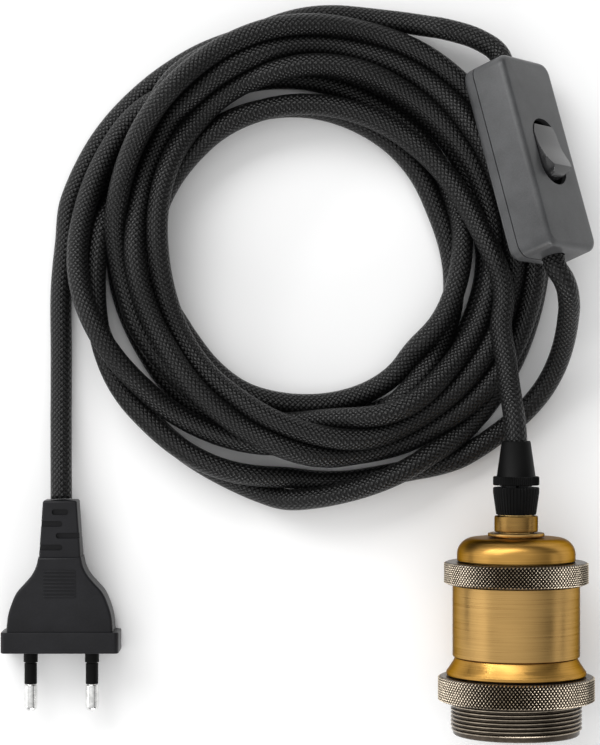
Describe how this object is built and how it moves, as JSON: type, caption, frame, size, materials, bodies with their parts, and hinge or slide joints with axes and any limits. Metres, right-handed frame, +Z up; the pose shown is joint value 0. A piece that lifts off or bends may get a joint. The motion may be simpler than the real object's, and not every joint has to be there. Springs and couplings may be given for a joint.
{
  "type": "pendant cord set",
  "caption": "Pendant cord set: brass-finish screw lamp holder with knurled rings on a coiled round textile cord, in-line rocker switch and flat two-pin plug.",
  "frame": {"origin": "under the middle of the lamp holder, on the surface that everything lies on", "axes": "+Z up; the lamp holder lies along Y with its mouth towards -Y and its cord towards +Y"},
  "size_m": [0.1776, 0.2175, 0.0467],
  "materials": {
    "aged_brass": "brushed antique brass, darker in the recesses",
    "dark_bronze": "dark bronze knurl and thread with rubbed bright tips",
    "plain_brass": "plain bright brass",
    "steel": "plated steel and nickel",
    "porcelain": null,
    "black_plastic": "black moulded plastic, satin",
    "grey_plastic": "fine-grained dark grey plastic",
    "rocker_plastic": "polished black plastic",
    "cord_braid": "black braided textile with a soft sheen",
    "brown_wire": "brown insulation",
    "blue_wire": "blue insulation"
  },
  "bodies": {
    "cord_set": {"flare_collar": "aged_brass", "shell_body": "aged_brass", "dome_cap": "aged_brass", "ledge_washer": "aged_brass", "neck_collar": "aged_brass", "threaded_sleeve": "dark_bronze", "nipple": "plain_brass", "screw_shell": "plain_brass", "centre_contact": "plain_brass", "centre_rivet": "plain_brass", "shell_rivet": "plain_brass", "live_terminal": "plain_brass", "neutral_terminal": "plain_brass", "live_in_terminal": "plain_brass", "live_out_terminal": "plain_brass", "neutral_link": "plain_brass", "nipple_nut": "steel", "core_strap": "steel", "live_terminal_screw": "steel", "neutral_terminal_screw": "steel", "core_screw_upper": "steel", "core_screw_lower": "steel", "live_in_screw": "steel", "live_out_screw": "steel", "neutral_in_screw": "steel", "neutral_out_screw": "steel", "case_screw_in": "steel", "case_screw_out": "steel", "plug_pin_left": "steel", "plug_pin_right": "steel", "ceramic_core": "porcelain", "grip_body": "black_plastic", "grip_collet": "black_plastic", "grip_cap": "black_plastic", "plug_body": "black_plastic", "pin_carrier": "black_plastic", "pin_sleeve_left": "black_plastic", "pin_sleeve_right": "black_plastic", "switch_lower_case": "grey_plastic", "switch_upper_case": "grey_plastic", "cord_clamp_in": "grey_plastic", "cord_clamp_out": "grey_plastic", "cord_coil": "cord_braid", "plug_lead": "cord_braid", "switch_lead_in": "cord_braid", "switch_lead_out": "cord_braid", "holder_lead": "cord_braid", "holder_live_wire": "brown_wire", "live_wire_in": "brown_wire", "live_wire_out": "brown_wire", "holder_neutral_wire": "blue_wire", "neutral_wire_in": "blue_wire", "neutral_wire_out": "blue_wire"},
    "lower_ring": {"lower_ring": "dark_bronze"},
    "upper_ring": {"upper_ring": "dark_bronze"},
    "rocker": {"switch_rocker": "rocker_plastic", "rocker_plunger": "plain_brass", "rocker_spring": "steel"},
    "blade": {"contact_blade": "plain_brass"}
  },
  "joints": [
    {"name": "rocker_tip", "type": "hinge", "parent": "cord_set", "child": "rocker", "pos_m": [0.00661, 0.12773, 0.02188], "axis": [0.6437, -0.0473, -0.7638], "range_deg": [0, 24]},
    {"name": "blade_tip", "type": "hinge", "parent": "cord_set", "child": "blade", "pos_m": [0.00236, 0.12583, 0.01842], "axis": [0.6437, -0.0473, -0.7638], "range_deg": [-11.1, 0.1]},
    {"name": "lower_ring_turn", "type": "hinge", "parent": "cord_set", "child": "lower_ring", "pos_m": [0, 0, 0.02325], "axis": [0, 1, 0], "continuous": true},
    {"name": "upper_ring_turn", "type": "hinge", "parent": "cord_set", "child": "upper_ring", "pos_m": [0, 0, 0.02325], "axis": [0, 1, 0], "continuous": true}
  ],
  "couplings": [
    {"joint": "blade_tip", "follows": "rocker_tip", "ratio": -0.45833}
  ]
}
